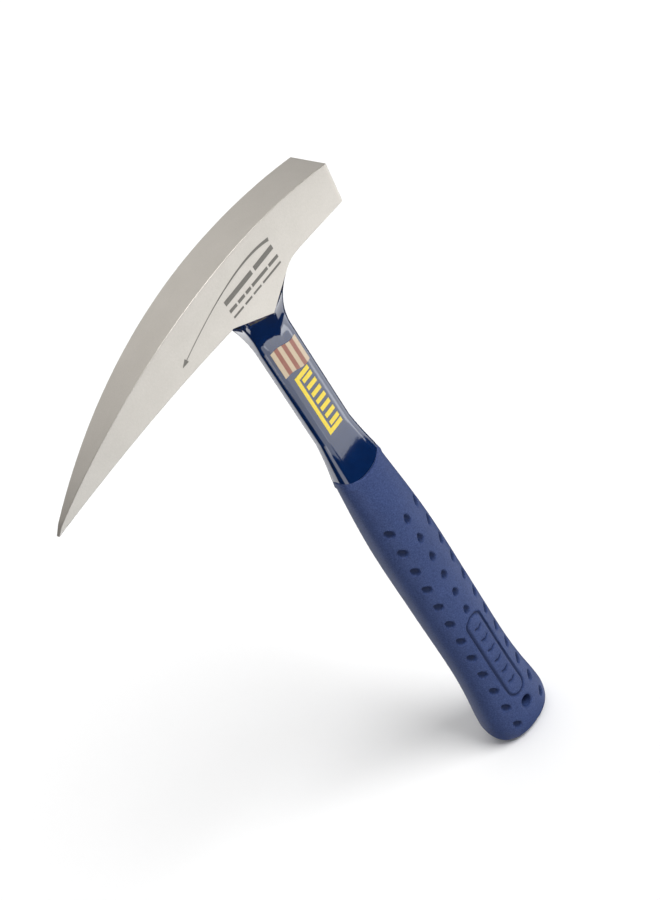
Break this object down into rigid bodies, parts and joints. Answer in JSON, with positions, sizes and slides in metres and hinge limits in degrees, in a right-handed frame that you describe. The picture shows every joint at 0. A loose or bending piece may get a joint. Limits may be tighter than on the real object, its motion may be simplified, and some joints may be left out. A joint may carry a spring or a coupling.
{
  "type": "rock hammer",
  "caption": "One-piece forged steel rock hammer: square striking face, long arched pick, lacquered shank and a dimpled vinyl grip with a hang hole.",
  "frame": {"origin": "middle of the small flat at the butt end of the grip, on the handle's axis", "axes": "+Z along the handle towards the head, +X towards the striking face, -X towards the pick, Y across the cheeks"},
  "size_m": [0.1872, 0.0292, 0.33],
  "materials": {
    "forged_steel": "ground and satin polished, bare",
    "blue_lacquer": "glossy navy lacquer",
    "blue_vinyl": "matt moulded vinyl with a fine grain",
    "patch_print": "printed transfer, plain stripes",
    "yellow_print": "printed transfer, plain bars"
  },
  "bodies": {
    "root": {"forged_body": "forged_steel", "lacquer_coat": "blue_lacquer", "grip": "blue_vinyl", "patch_transfer": "patch_print", "bar_transfer": "yellow_print"}
  },
  "joints": []
}
